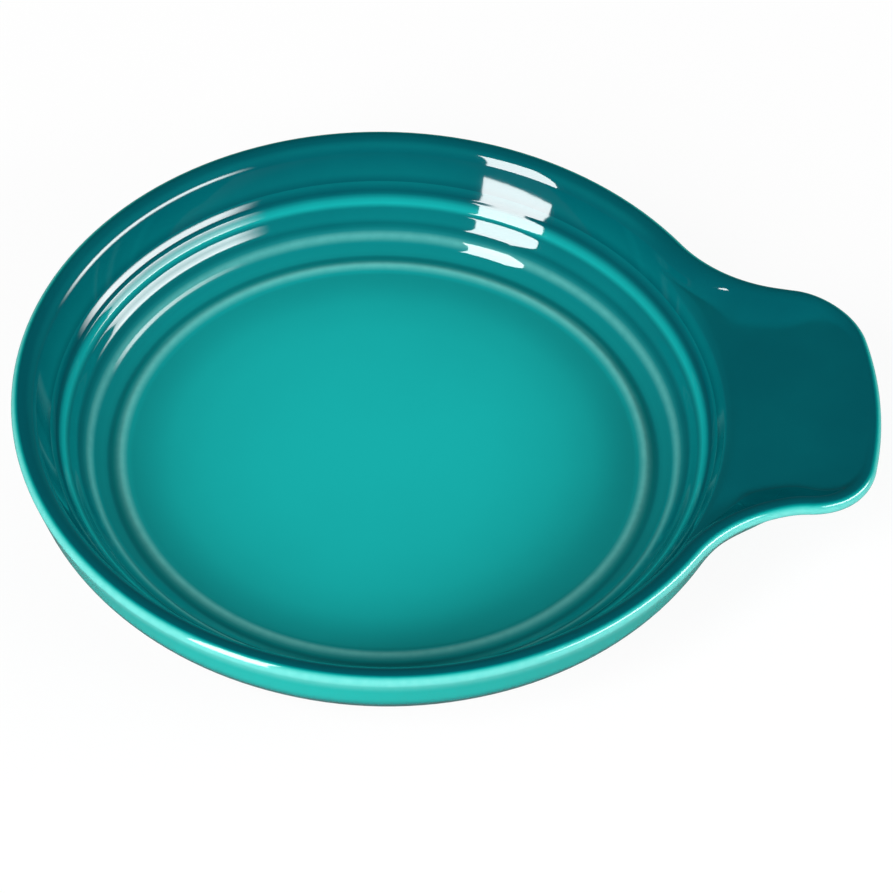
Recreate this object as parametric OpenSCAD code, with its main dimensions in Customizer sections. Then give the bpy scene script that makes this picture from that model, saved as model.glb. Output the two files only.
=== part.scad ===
// Spoon rest: a round stoneware dish with three raised rings and a flat handle tab.
// One pressed clay body wears four fired glaze coats. Millimetres, +Z up, tab along +X.
// The origin is the centre of the foot ring, on the table.
// All sizes are taken over the glaze, as they would be measured on the finished piece.

/* [Dish] */
// Diameter over the rim
dish_d = 126.6; // [114:0.1:140]
// Height of the rim above the table
dish_h = 21.65; // [19:0.05:26]
// Radius over the rim's outer edge
rim_out = 1.4; // [1.1:0.05:1.8]
// Radius over the rim's inner edge
rim_in = 3.2; // [2.4:0.1:4]
// Slope of the inside wall below the rim, degrees from level
wall_slope = 65; // [58:1:70]
// Radius of the inside wall's hollow, from the rim down to its foot
wall_hollow_r = 90; // [60:1:200]
// Slope of the outside below the rim, degrees from level
side_slope = 72; // [66:1:80]
// Height of the waist, where the outside turns in
waist_h = 11.9; // [9.5:0.1:14]
// Radius of the turn at the waist
waist_r = 10; // [4:0.5:14]
// Slope of the outside below the waist, degrees from level
flare_slope = 48; // [44:1:54]
// Swell of the outside below the waist, off a straight line
flare_bow = 0.15; // [0.08:0.01:0.3]
// Thickness of the floor
floor_t = 4.85; // [3.6:0.05:6]

/* [Rings] */
// Height of the inner ring above the floor
ring1_h = 0.7; // [0.4:0.05:1]
// Width of the slope up to the inner ring
ring1_ramp = 1.6; // [1.2:0.05:2]
// Distance from the inner ring's crest out to the groove behind it
groove_w = 2; // [1.6:0.05:2.4]
// Depth of the groove below the inner ring's crest
groove_depth = 0.65; // [0.4:0.05:0.9]
// Width of the band between the groove and the middle ring
band1_w = 2.35; // [1.8:0.05:2.9]
// Rise of that band
band1_rise = 1.2; // [0.9:0.05:1.5]
// Width of the middle ring's face
face2_w = 0.95; // [0.8:0.05:1.2]
// Height of the middle ring's face
face2_h = 1.05; // [0.8:0.05:1.4]
// Width of the band between the middle ring and the outer one
band2_w = 2.2; // [1.7:0.05:2.7]
// Rise of that band
band2_rise = 1.55; // [1.2:0.05:1.9]
// Width of the outer ring's face
face3_w = 1.2; // [0.9:0.05:1.6]
// Height of the outer ring's face
face3_h = 1.65; // [1.3:0.05:2.1]
// Width of the ledge on the outer ring
ledge_w = 0.75; // [0.6:0.05:1]
// Rise of that ledge
ledge_rise = 0.4; // [0.2:0.05:0.5]
// Width of the small step above the ledge
step_w = 1; // [0.8:0.05:1.3]
// Height of that step
step_h = 1.45; // [1.2:0.05:1.8]
// Width of the shelf on top of the step
shelf_w = 0.55; // [0.4:0.05:0.7]
// Rise of that shelf
shelf_rise = 0.4; // [0.3:0.05:0.5]
// Width of the slope from the shelf up to the wall
flank_w = 0.75; // [0.5:0.05:1.1]
// Height of that slope
flank_h = 0.9; // [0.7:0.05:1.3]
// Radius over the inner ring's crest
crest_r = 1.2; // [0.8:0.05:1.5]
// Radius in the groove
groove_r = 1.5; // [1:0.05:2]
// Radius of the soft bends of the middle ring
bend_r = 3; // [2:0.1:4]
// Radius of the edges of the ledge and the shelf
ledge_r = 1; // [0.6:0.05:1.1]
// Radius of the bend at the foot of the wall
foot_r = 4; // [2:0.5:6]

/* [Foot] */
// Height of the foot ring, which is also the depth of the recess inside it
foot_h = 1.4; // [1:0.1:2.4]
// Width of the foot ring
foot_w = 4; // [2.5:0.1:6]
// How far the foot ring is set in from the lower edge of the wall
foot_inset = 1.8; // [1:0.1:3]
// Radius of the wall's lower edge
heel_r = 2; // [1:0.1:3]
// Rounding of the foot ring's ground edges
foot_edge_r = 0.4; // [0.2:0.05:0.6]

/* [Tab] */
// Reach of the tab's end from the middle of the dish
tab_reach = 84.4; // [78:0.1:92]
// Width of the tab across its corners
tab_w = 50.6; // [42:0.1:58]
// Radius of the tab's corners in plan
tab_corner_r = 13.2; // [9:0.1:17]
// Radius of the tab's end in plan
tab_end_r = 72; // [50:1:120]
// Radius of the sweep from the rim into the tab's sides
sweep_r = 25.5; // [16:0.1:32]
// Drop of the tab's end edge below the rim
tab_drop = 1.8; // [0.8:0.1:2.6]
// Pitch of the tab's floor, which falls towards the dish
tab_pitch = 2.8; // [0:0.1:5]
// Slope of the tab's side lips, degrees from level
lip_slope = 26; // [18:1:36]
// Slope of the underside below the side lips, degrees from level
under_slope = 35; // [25:1:40]
// Thickness of the tab
tab_t = 3.7; // [3.2:0.1:5]
// Roundness of the shoulder where the wall rolls over onto the tab
shoulder = 2.5; // [1:0.1:4]
// Roundness of the crease along the foot of the side lips
crease = 0.4; // [0.1:0.05:1]
// Roundness of the hollow where the tab's underside meets the outside wall
root_fillet = 4; // [2:0.5:6]

/* [Glaze] */
// Thickness of the glaze
glaze_t = 0.4; // [0.25:0.05:0.6]
// Bare clay left between the glaze and the foot ring
bare_gap = 0.6; // [0.3:0.05:1]

/* [Hidden] */
$fn = 144;

clay_colour = "#d9cdb8";
floor_colour = "#1dabA9";
wall_colour = "#00636b";
outside_colour = "#12b5ad";
base_colour = "#16a8a2";

// The half of the dish that carries the tab is lofted, and the other half is turned. They meet on the
// upright plane x = 0, where both have the same points. Section points are rounded to this step.
snap_step = 0.005;
// How far the core and the wall run into each other inside the clay
key = 0.7;
// How far the core's surface passes under the wall's foot, which is hidden by the glaze
tuck = 0.05;

// Rim: an inner and an outer arc that meet level on the crest line
dish_r = dish_d / 2;
crest_line = dish_r - rim_out;
rim_c = [crest_line, dish_h - rim_out];

// Heights, from the table up
floor_z = foot_h + floor_t;
crest1_z = floor_z + ring1_h;
groove_z = crest1_z - groove_depth;
face2_z = groove_z + band1_rise;
crest2_z = face2_z + face2_h;
face3_z = crest2_z + band2_rise;
crest3_z = face3_z + face3_h;
ledge_z = crest3_z + ledge_rise;
step_z = ledge_z + step_h;
shelf_z = step_z + shelf_rise;
wall_z = shelf_z + flank_h;

// The inside wall is a shallow hollow arc, tangent to the rim's inner arc. The rings are set out inwards from it.
wall_top = [crest_line, dish_h - rim_in] + rim_in * [-sin(wall_slope), cos(wall_slope)];
hollow_c = wall_top + wall_hollow_r * [-sin(wall_slope), cos(wall_slope)];
wall_foot_slope = acos((hollow_c.y - wall_z) / wall_hollow_r);
wall_dir = [cos(wall_foot_slope), sin(wall_foot_slope)];
wall_corner = hollow_at(wall_foot_slope);
shelf_x = wall_corner.x - flank_w;
step_x = shelf_x - shelf_w;
ledge_x = step_x - step_w;
crest3_x = ledge_x - ledge_w;
face3_x = crest3_x - face3_w;
crest2_x = face3_x - band2_w;
face2_x = crest2_x - face2_w;
groove_x = face2_x - band1_w;
crest1_x = groove_x - groove_w;
ramp_r = 2;

// The outside: side, waist, flare, heel, then a level shelf in to the foot ring
bead_end = 180 - side_slope;
side_top = rim_c + rim_out * [sin(bead_end), cos(bead_end)];
waist = [side_top.x - (side_top.y - waist_h) / tan(side_slope), waist_h];
heel = [waist.x - (waist_h - foot_h) / tan(flare_slope), foot_h];
foot_outer = heel.x - foot_inset;
foot_inner = foot_outer - foot_w;
clay_z = foot_h + glaze_t;

// Plan of the tab: rim circle, sweep, corner and end, each an arc tangent to the next
corner_y = tab_w / 2 - tab_corner_r;
end_c = [tab_reach - tab_end_r, 0];
corner_c = [end_c.x + sqrt(pow(tab_end_r - tab_corner_r, 2) - pow(corner_y, 2)), corner_y];
sweep_c = meet(dish_r + sweep_r, corner_c, sweep_r + tab_corner_r);
sweep_start = atan2(sweep_c.y, sweep_c.x);
sweep_stop = atan2(sweep_c.y - corner_c.y, sweep_c.x - corner_c.x);
corner_stop = atan2(corner_c.y, corner_c.x - end_c.x);

// Number of steps along each arc of half the outline
rim_steps = 13;
sweep_steps = 10;
corner_steps = 8;
end_steps = 4;

// The tab comes up over this much of the outline's swing away from the rim circle
blend_in = 6;
// The shoulder fades out over this angle before the sweep starts, and down the wall to its foot
shoulder_fade = 12;
tab_end_top = dish_h - tab_drop;
// The edge starts to drop this far beyond the rim circle
drop_from = dish_r + 4.4;

// How the points of a section are spread: up the wall, over to the bead, round the bead, under the tab
wall_spread = [0, 0.27, 0.5, 0.72, 0.88, 1];
top_spread = [0.12, 0.28, 0.46, 0.62, 0.76, 0.87, 0.95, 1];
bead_steps = 5;
waist_steps = 3;
flare_spread = [0.35, 0.7];
under_spread = [0.08, 0.22, 0.4, 0.62, 0.82];
heel_steps = 2;
crest_at = len(wall_spread) + len(top_spread) - 1;

function unit(v) = v / norm(v);
function mix(a, b, t) = a * (1 - t) + b * t;
function clamp(t) = min(max(t, 0), 1);
function ease(t) = let (u = clamp(t)) u * u * (3 - 2 * u);
function soft_min(a, b, k) = k <= 0 ? min(a, b) : min(a, b) - pow(max(k - abs(a - b), 0), 2) / (4 * k);
function soft_max(a, b, k) = -soft_min(-a, -b, k);
function snapped(p) = [for (c = p) round(c / snap_step) * snap_step];
function left(v) = [-v.y, v.x];

// Centre of a circle that lies at a distance from the origin and at another from a point, on the +Y side
function meet(from_origin, point, from_point) =
    let (
        d = norm(point),
        along = (pow(from_origin, 2) - pow(from_point, 2) + d * d) / (2 * d),
        across = sqrt(pow(from_origin, 2) - along * along),
        u = unit(point)
    )
    along * u + across * left(u);

// Where two lines cross, each given by a point and a direction
function crossing(p, u, q, v) = p + u * (cross(q - p, v) / cross(u, v));

// Arc that rounds the corner b between a and c
function rounded_corner(a, b, c, r) =
    let (
        u = unit(a - b),
        v = unit(c - b),
        half = acos(u * v) / 2,
        centre = b + unit(u + v) * r / sin(half),
        from = b + u * r / tan(half) - centre,
        start = atan2(from.y, from.x),
        turn = sign(cross(b - a, c - b)) * (180 - 2 * half),
        steps = ceil(abs(turn) / 16)
    )
    [for (k = [0:steps]) let (t = start + turn * k / steps) centre + r * [cos(t), sin(t)]];

// Line through corners given as [radius, height, rounding]
function rounded_line(corners) = [
    for (i = [0:len(corners) - 1])
        let (b = [corners[i].x, corners[i].y])
        each corners[i].z == 0
            ? [b]
            : rounded_corner(
                [corners[i - 1].x, corners[i - 1].y], b,
                [corners[i + 1].x, corners[i + 1].y], corners[i].z)
];

// A section line moved square to itself, to the right of its run
function inset(line, d) = [
    for (i = [0:len(line) - 1])
        let (
            back = i == 0 ? line[1] - line[0] : line[i] - line[i - 1],
            ahead = i == len(line) - 1 ? back : line[i + 1] - line[i]
        )
        line[i] - d * left(unit(unit(back) + unit(ahead)))
];

// Floor and rings, from the axis out to the foot of the wall
wall_up = wall_corner + rim_in * wall_dir;
foot_bend = rounded_corner([shelf_x, shelf_z], wall_corner, wall_up, foot_r);
wall_foot = foot_bend[len(foot_bend) - 1];
ring_line = rounded_line([
    [0, floor_z, 0],
    [crest1_x - ring1_ramp, floor_z, ramp_r],
    [crest1_x, crest1_z, crest_r],
    [groove_x, groove_z, groove_r],
    [face2_x, face2_z, bend_r],
    [crest2_x, crest2_z, bend_r],
    [face3_x, face3_z, bend_r],
    [crest3_x, crest3_z, ledge_r],
    [ledge_x, ledge_z, ledge_r],
    [step_x, step_z, ledge_r],
    [shelf_x, shelf_z, ledge_r],
    [wall_corner.x, wall_corner.y, 0]
]);
floor_line = concat([for (k = [0:len(ring_line) - 2]) ring_line[k]], foot_bend);
// The same line on the clay
clay_foot = snapped(wall_foot - glaze_t * left(wall_dir));
clay_floor_inset = inset(floor_line, glaze_t);
clay_floor_line = [
    for (i = [0:len(floor_line) - 1]) i == len(floor_line) - 1 ? clay_foot : clay_floor_inset[i]
];

// Wall, rim, outside wall and shelf of the round dish, from the wall's foot to the glaze's lower edge
glaze_end = foot_outer + bare_gap;
waist_line = rounded_corner(side_top, waist, heel, waist_r);
waist_arc = [for (k = [0:waist_steps - 1]) waist_line[round(k * (len(waist_line) - 1) / (waist_steps - 1))]];
waist_end = waist_arc[waist_steps - 1];
heel_line = rounded_corner(waist, heel, [foot_outer, foot_h], heel_r);
heel_top = heel_line[0];
heel_arc = [for (k = [1:heel_steps]) heel_line[round(k * (len(heel_line) - 1) / heel_steps)]];
skin_raw = concat(
    [for (f = wall_spread) f == 0 ? wall_foot : hollow_at(mix(wall_foot_slope, wall_slope, f))],
    [for (f = top_spread) let (r = mix(wall_top.x, crest_line, f)) [r, rim_top(crest_line - r, dish_h)]],
    [for (k = [1:bead_steps]) let (t = bead_end * k / bead_steps) rim_c + rim_out * [sin(t), cos(t)]],
    waist_arc,
    [for (f = flare_spread) bowed(waist_end, heel_top, f, flare_bow)],
    [heel_top],
    heel_arc,
    [[glaze_end, foot_h]]
);
skin_last = len(skin_raw) - 1;
clay_skin_inset = inset(skin_raw, glaze_t);
skin = [for (p = skin_raw) snapped(p)];
clay_skin = [
    for (i = [0:skin_last])
        snapped(i == 0 ? clay_foot : i == skin_last ? [glaze_end, clay_z] : clay_skin_inset[i])
];

// Point on a shallow bow between two points, which stands off their line to the left of its run
function bowed(a, b, f, rise) = mix(a, b, f) + 4 * f * (1 - f) * rise * left(unit(b - a));

// Height of the rim's inner arc at a distance in from the crest line
function rim_top(d, crest) = crest - rim_in + sqrt(max(rim_in * rim_in - d * d, 0));

// Point of the wall's hollow at which it has a given slope, and its height at a radius
function hollow_at(slope) = hollow_c + wall_hollow_r * [sin(slope), -cos(slope)];
function hollow_z(r) =
    r > wall_top.x ? wall_top.y + (r - wall_top.x) * tan(wall_slope) :
    hollow_c.y - sqrt(max(pow(wall_hollow_r, 2) - pow(r - hollow_c.x, 2), 0));

// Inside the clay the wall runs on into the core, and the core into the wall
core_foot = clay_foot - tuck * left(wall_dir);
core_key = clay_foot - 2 * key * left(wall_dir);
wall_key = snapped(clay_foot - key * (wall_dir + 0.5 * left(wall_dir)));
wall_end = [
    snapped([foot_outer - key, clay_z]),
    snapped([foot_outer - key, clay_z + key + 0.5 * key])
];
core_corner = [foot_outer, clay_z + key];

// Half of the outline on the tab's side, from the plane x = 0 to the tip: [point, outward normal]
function arc_points(c, r, from, to, steps, side) = [
    for (k = [1:steps])
        let (t = mix(from, to, k / steps), n = [cos(t), sin(t)])
        [c + r * n, side * n]
];
half_outline = concat(
    [[[0, dish_r], [0, 1]]],
    arc_points([0, 0], dish_r, 90, sweep_start, rim_steps, 1),
    arc_points(sweep_c, sweep_r, sweep_start + 180, sweep_stop + 180, sweep_steps, -1),
    arc_points(corner_c, tab_corner_r, sweep_stop, corner_stop, corner_steps, 1),
    arc_points(end_c, tab_end_r, corner_stop, 0, end_steps, 1)
);
tip = len(half_outline) - 1;
rib_count = 2 * tip + 1;
function mirrored(o) = [[o[0].x, -o[0].y], [o[1].x, -o[1].y]];
outline = [for (i = [0:rib_count - 1]) i <= tip ? half_outline[i] : mirrored(half_outline[2 * tip - i])];

// How far the outline has swung away from the rim circle, from 0 on the rim to 1 on the tab
tab_share = [for (o = half_outline) ease((norm(o[0]) - dish_r) / blend_in)];
function crest_z(x) = dish_h - tab_drop * ease((x - drop_from) / (tab_reach - drop_from));
function tab_floor(x) = tab_end_top - (tab_reach - rim_out - x) * tan(tab_pitch);

// Distance from a plan point to half the outline, with the tab share and the x there: [distance, share, x]
function near_edge(p, i) =
    let (
        a = half_outline[i][0],
        ab = half_outline[i + 1][0] - a,
        t = clamp((p - a) * ab / (ab * ab)),
        q = a + t * ab
    )
    [norm(p - q), mix(tab_share[i], tab_share[i + 1], t), q.x];
function nearest_edge(p) =
    let (
        all = [for (i = [0:tip - 1]) near_edge([p.x, abs(p.y)], i)],
        d = min([for (e = all) e[0]])
    )
    [for (e = all) if (e[0] == d) e][0];

// Height of the upper surface: the wall, rolling over the shoulder onto the tab's floor and side lips
function upper_z(p) =
    let (
        edge = nearest_edge(p),
        d = edge[0] - rim_out,
        slope = mix(wall_slope, lip_slope, edge[1]),
        crest = crest_z(edge[2]),
        arc_w = rim_in * sin(slope),
        lip = rim_top(min(d, arc_w), crest) - max(d - arc_w, 0) * tan(slope),
        level = tab_floor(p.x),
        tab = soft_max(lip, level, crease * clamp(crest - level)),
        wall = hollow_z(norm(p)),
        fade = ease((sweep_start - abs(atan2(p.y, p.x))) / shoulder_fade),
        above = ease((norm(p) - wall_foot.x) / (wall_top.x - wall_foot.x))
    )
    soft_min(wall, tab, shoulder * fade * above);

// Height of the lower surface: the outside wall, turning out along the tab's underside
function lower_z(p) =
    let (
        edge = nearest_edge(p),
        lip = crest_z(edge[2]) - rim_out - rim_out * cos(under_slope)
            - (edge[0] - rim_out + rim_out * sin(under_slope)) * tan(under_slope),
        level = tab_floor(p.x) - tab_t,
        wall = waist.y + (norm(p) - waist.x) * tan(flare_slope)
    )
    soft_min(wall, soft_max(lip, level, crease), root_fillet);

// One rib of the loft on the glaze. On the rim circle it is the dish's own section.
function turned(line, dir) = [for (p = line) [p.x * dir.x, p.x * dir.y, p.y]];
function rib_dir(i) = i == 0 || i == rib_count - 1
    ? outline[i][1]
    : unit(outline[i][0] - rim_out * outline[i][1]);
function on_rim(i) = min(i, rib_count - 1 - i) <= rim_steps;
function tab_rib(i) =
    let (
        n = outline[i][1],
        share = tab_share[min(i, rib_count - 1 - i)],
        c = outline[i][0] - rim_out * n,
        dir = unit(c),
        bead = crest_z(outline[i][0].x) - rim_out,
        bead_turn = mix(bead_end, 180 - under_slope, share),
        wall_pts = [for (f = wall_spread) mix(wall_foot.x, wall_top.x, f) * dir],
        top_pts = [for (f = top_spread) mix(wall_top.x * dir, c, f)],
        bead_out = c + rim_out * sin(bead_turn) * n,
        round_at = crest_at + bead_steps,
        under_pts = [for (f = under_spread) mix(bead_out, heel_top.x * dir, f)]
    )
    concat(
        [for (p = concat(wall_pts, top_pts)) [p.x, p.y, upper_z(p)]],
        [for (k = [1:bead_steps]) let (t = bead_turn * k / bead_steps, p = c + rim_out * sin(t) * n)
            [p.x, p.y, bead + rim_out * cos(t)]],
        [for (k = [0:len(under_pts) - 1])
            let (
                p = under_pts[k],
                dish = skin[round_at + 1 + k],
                dish_p = [dish.x * dir.x, dish.x * dir.y, dish.y]
            )
            mix(dish_p, [p.x, p.y, lower_z(p)], share)],
        turned([for (k = [round_at + 1 + len(under_spread):skin_last]) skin[k]], dir)
    );
ribs = [for (i = [0:rib_count - 1]) on_rim(i) ? turned(skin, rib_dir(i)) : tab_rib(i)];

// The same rib on the clay, one glaze thickness in, square to the surface
function clay_point(i, k) =
    let (
        along = ribs[i][k + 1] - ribs[i][k - 1],
        across = ribs[i + 1][k] - ribs[i - 1][k]
    )
    ribs[i][k] + glaze_t * unit(cross(along, across));
function clay_rib(i) =
    let (foot = turned([clay_skin[0], clay_skin[skin_last]], rib_dir(i)))
    [for (k = [0:skin_last]) k == 0 ? foot[0] : k == skin_last ? foot[1] : clay_point(i, k)];
clay_ribs = [for (i = [0:rib_count - 1]) on_rim(i) ? turned(clay_skin, rib_dir(i)) : clay_rib(i)];

// Solid through closed ribs of equal length, with the end faces given as triangles of the first rib
module loft(rings, cap) {
    m = len(rings[0]);
    last = (len(rings) - 1) * m;
    sides = [
        for (i = [0:len(rings) - 2])
            for (k = [0:m - 1])
                let (a = i * m + k, b = i * m + (k + 1) % m)
                each [[a, b, a + m], [b, b + m, a + m]]
    ];
    ends = [for (t = cap) each [[t[2], t[1], t[0]], [last + t[0], last + t[1], last + t[2]]]];
    polyhedron([for (ring = rings) each ring], concat(sides, ends));
}

// Triangles across a coat's section: its outer line runs up the list and its inner line back down
function coat_cap(n) = [
    for (k = [0:n - 2]) each [[k, k + 1, 2 * n - 2 - k], [k, 2 * n - 2 - k, 2 * n - 1 - k]]
];

// Triangles across a band between two chains of points that start together, always taking the shorter step
function band_cap(a, b, pts, i = 0, j = 0) =
    i == len(a) - 1 && j == len(b) - 1 ? [] :
    let (
        step_a = i < len(a) - 1 ? norm(pts[a[i + 1]] - pts[b[j]]) : 1e9,
        step_b = j < len(b) - 1 ? norm(pts[b[j + 1]] - pts[a[i]]) : 1e9
    )
    step_a < step_b
        ? concat([[a[i], b[j], a[i + 1]]], band_cap(a, b, pts, i + 1, j))
        : concat([[a[i], b[j], b[j + 1]]], band_cap(a, b, pts, i, j + 1));

// Everything on the tab's side of the plane x = 0
module tab_side() {
    translate([0, -dish_d, -dish_h])
        cube([2 * tab_reach, 2 * dish_d, 3 * dish_h]);
}

// A coat on the wall: turned on the plain half of the dish, lofted through the half with the tab
module coat(from, to) {
    difference() {
        rotate_extrude()
            polygon(concat(
                [for (k = [from:to]) skin[k]],
                [for (k = [to:-1:from]) clay_skin[k]]));
        tab_side();
    }
    loft(
        [for (i = [0:rib_count - 1]) concat(
            [for (k = [from:to]) ribs[i][k]],
            [for (k = [to:-1:from]) clay_ribs[i][k]])],
        coat_cap(to - from + 1));
}

// Floor, rings and foot, turned in one piece
module core() {
    r = foot_edge_r;
    foot_line = rounded_line([
        [core_corner.x, core_corner.y, 0],
        [foot_outer, 0, r],
        [foot_inner, 0, r],
        [foot_inner, clay_z, 0]
    ]);
    top_line = [for (k = [0:len(clay_floor_line) - 2]) clay_floor_line[k]];
    rotate_extrude()
        polygon(concat(top_line, [core_foot, core_key], foot_line, [[0, clay_z]]));
}

// Wall, rim and tab, keyed into the core
module wall() {
    buried = concat(wall_end, [wall_key]);
    difference() {
        rotate_extrude()
            polygon(concat(clay_skin, buried));
        tab_side();
    }
    m = skin_last + 1;
    inner_chain = concat([for (k = [crest_at:-1:0]) k], [m + 2, m + 1]);
    outer_chain = concat([for (k = [crest_at:skin_last]) k], [m]);
    loft(
        [for (i = [0:rib_count - 1]) concat(clay_ribs[i], turned(buried, rib_dir(i)))],
        band_cap(inner_chain, outer_chain, concat(clay_skin, buried)));
}

module stoneware_body() {
    color(clay_colour) {
        core();
        wall();
    }
}

module floor_glaze() {
    last = len(floor_line) - 1;
    color(floor_colour)
        rotate_extrude()
            polygon(concat(floor_line, [for (k = [last:-1:0]) clay_floor_line[k]]));
}

module wall_glaze() {
    color(wall_colour)
        coat(0, crest_at);
}

module outside_glaze() {
    color(outside_colour)
        coat(crest_at, skin_last);
}

module base_glaze() {
    color(base_colour)
        translate([0, 0, foot_h])
            cylinder(r = foot_inner - bare_gap, h = glaze_t);
}

stoneware_body();
floor_glaze();
wall_glaze();
outside_glaze();
base_glaze();
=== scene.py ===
from math import acos, atan2, ceil, cos, pi, radians, sin, sqrt, tan

import bmesh
import bpy
import numpy as np
from bpy.props import FloatProperty, FloatVectorProperty, PointerProperty
from mathutils import Matrix, Quaternion, Vector


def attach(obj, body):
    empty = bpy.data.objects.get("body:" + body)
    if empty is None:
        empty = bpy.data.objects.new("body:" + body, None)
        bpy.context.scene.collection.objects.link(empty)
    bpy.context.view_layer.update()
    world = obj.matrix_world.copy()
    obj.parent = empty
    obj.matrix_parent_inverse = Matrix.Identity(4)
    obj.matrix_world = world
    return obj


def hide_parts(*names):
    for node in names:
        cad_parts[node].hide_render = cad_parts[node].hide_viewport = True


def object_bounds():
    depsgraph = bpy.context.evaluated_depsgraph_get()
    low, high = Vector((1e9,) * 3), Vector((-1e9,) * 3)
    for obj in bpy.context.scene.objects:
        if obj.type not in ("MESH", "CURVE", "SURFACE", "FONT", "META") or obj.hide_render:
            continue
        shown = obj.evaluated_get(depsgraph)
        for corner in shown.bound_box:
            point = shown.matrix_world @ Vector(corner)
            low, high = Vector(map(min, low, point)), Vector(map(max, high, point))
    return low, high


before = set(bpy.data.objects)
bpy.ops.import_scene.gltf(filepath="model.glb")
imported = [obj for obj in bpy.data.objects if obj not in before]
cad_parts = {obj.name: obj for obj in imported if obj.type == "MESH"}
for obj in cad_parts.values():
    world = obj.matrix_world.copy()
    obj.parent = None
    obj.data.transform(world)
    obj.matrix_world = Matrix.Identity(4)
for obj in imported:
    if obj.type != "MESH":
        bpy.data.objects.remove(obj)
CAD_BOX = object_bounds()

bl_info = {
    "name": "Spoon Rest",
    "version": (1, 0, 0),
    "blender": (4, 5, 0),
    "location": "3D View > Sidebar > Spoon Rest",
    "description": "Dresses a glazed stoneware spoon rest and sets its stage",
    "category": "Object",
}

MM = 0.001
IMAGE_WIDTH = 893


def size(name, description, default):
    """A length in metres."""
    return FloatProperty(name=name, description=description, default=default, unit="LENGTH", precision=5)


def turn(name, description, default):
    """An angle, given here in degrees."""
    return FloatProperty(name=name, description=description, default=radians(default), subtype="ANGLE")


def linear(red, green, blue):
    """A screen colour of 0 to 255 as scene-linear values."""
    return tuple((c / 3294.6) if c <= 10 else ((c / 255 + 0.055) / 1.055) ** 2.4 for c in (red, green, blue))


def colour(name, description, *screen):
    """A colour, given here as it shows on a screen."""
    return FloatVectorProperty(
        name=name, description=description, default=linear(*screen), subtype="COLOR", size=3, min=0, max=1)


class SpoonRestDish(bpy.types.PropertyGroup):
    """Sizes of the round dish, over the glaze."""
    radius: size("Radius", "Radius over the rim", -CAD_BOX[0].x)
    height: size("Height", "Height of the rim above the table", CAD_BOX[1].z)
    rim_out: size("Rim outer radius", "Radius over the rim's outer edge", 1.4 * MM)
    rim_in: size("Rim inner radius", "Radius over the rim's inner edge", 3.2 * MM)
    wall_slope: turn("Wall slope", "Slope of the inside wall below the rim from level", 65)
    wall_hollow: size("Wall hollow", "Radius of the inside wall's hollow", 90 * MM)
    side_slope: turn("Side slope", "Slope of the outside below the rim from level", 72)
    waist_height: size("Waist height", "Height at which the outside turns in", 11.9 * MM)
    waist_radius: size("Waist radius", "Radius of the turn at the waist", 10 * MM)
    flare_slope: turn("Flare slope", "Slope of the outside below the waist from level", 48)
    flare_bow: size("Flare swell", "Swell of the outside below the waist off a straight line", 0.15 * MM)
    floor_height: size("Floor height", "Height of the dish's floor above the table", 6.25 * MM)


class SpoonRestRings(bpy.types.PropertyGroup):
    """Sizes of the three rings round the floor."""
    inner_rise: size("Inner ring", "Height of the inner ring above the floor", 0.7 * MM)
    ramp: size("Ramp", "Width of the slope up to the inner ring", 1.6 * MM)
    groove_width: size("Groove width", "Distance from the inner crest out to its groove", 2 * MM)
    groove_depth: size("Groove depth", "Depth of the groove below the inner crest", 0.65 * MM)
    inner_band: size("Inner band", "Width of the band between the groove and the middle ring", 2.35 * MM)
    inner_band_rise: size("Inner band rise", "Rise of that band", 1.2 * MM)
    middle_face: size("Middle face", "Width of the middle ring's face", 0.95 * MM)
    middle_rise: size("Middle rise", "Height of the middle ring's face", 1.05 * MM)
    outer_band: size("Outer band", "Width of the band between the middle and outer rings", 2.2 * MM)
    outer_band_rise: size("Outer band rise", "Rise of that band", 1.55 * MM)
    outer_face: size("Outer face", "Width of the outer ring's face", 1.2 * MM)
    outer_rise: size("Outer rise", "Height of the outer ring's face", 1.65 * MM)
    ledge: size("Ledge", "Width of the ledge on the outer ring", 0.75 * MM)
    ledge_rise: size("Ledge rise", "Rise of that ledge", 0.4 * MM)
    step: size("Step", "Width of the small step above the ledge", 1 * MM)
    step_rise: size("Step rise", "Height of that step", 1.45 * MM)
    shelf: size("Shelf", "Width of the shelf on top of the step", 0.55 * MM)
    shelf_rise: size("Shelf rise", "Rise of that shelf", 0.4 * MM)
    flank: size("Flank", "Width of the slope from the shelf up to the wall", 0.75 * MM)
    flank_rise: size("Flank rise", "Height of that slope", 0.9 * MM)
    ramp_radius: size("Ramp radius", "Radius at the foot of the slope to the inner ring", 2 * MM)
    crest_radius: size("Crest radius", "Radius over the inner ring's crest", 1.2 * MM)
    groove_radius: size("Groove radius", "Radius in the groove", 1.5 * MM)
    bend_radius: size("Bend radius", "Radius of the middle ring's soft bends", 3 * MM)
    ledge_radius: size("Ledge radius", "Radius of the edges of the ledge and the shelf", 1 * MM)
    foot_radius: size("Foot radius", "Radius of the bend at the foot of the wall", 4 * MM)


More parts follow.
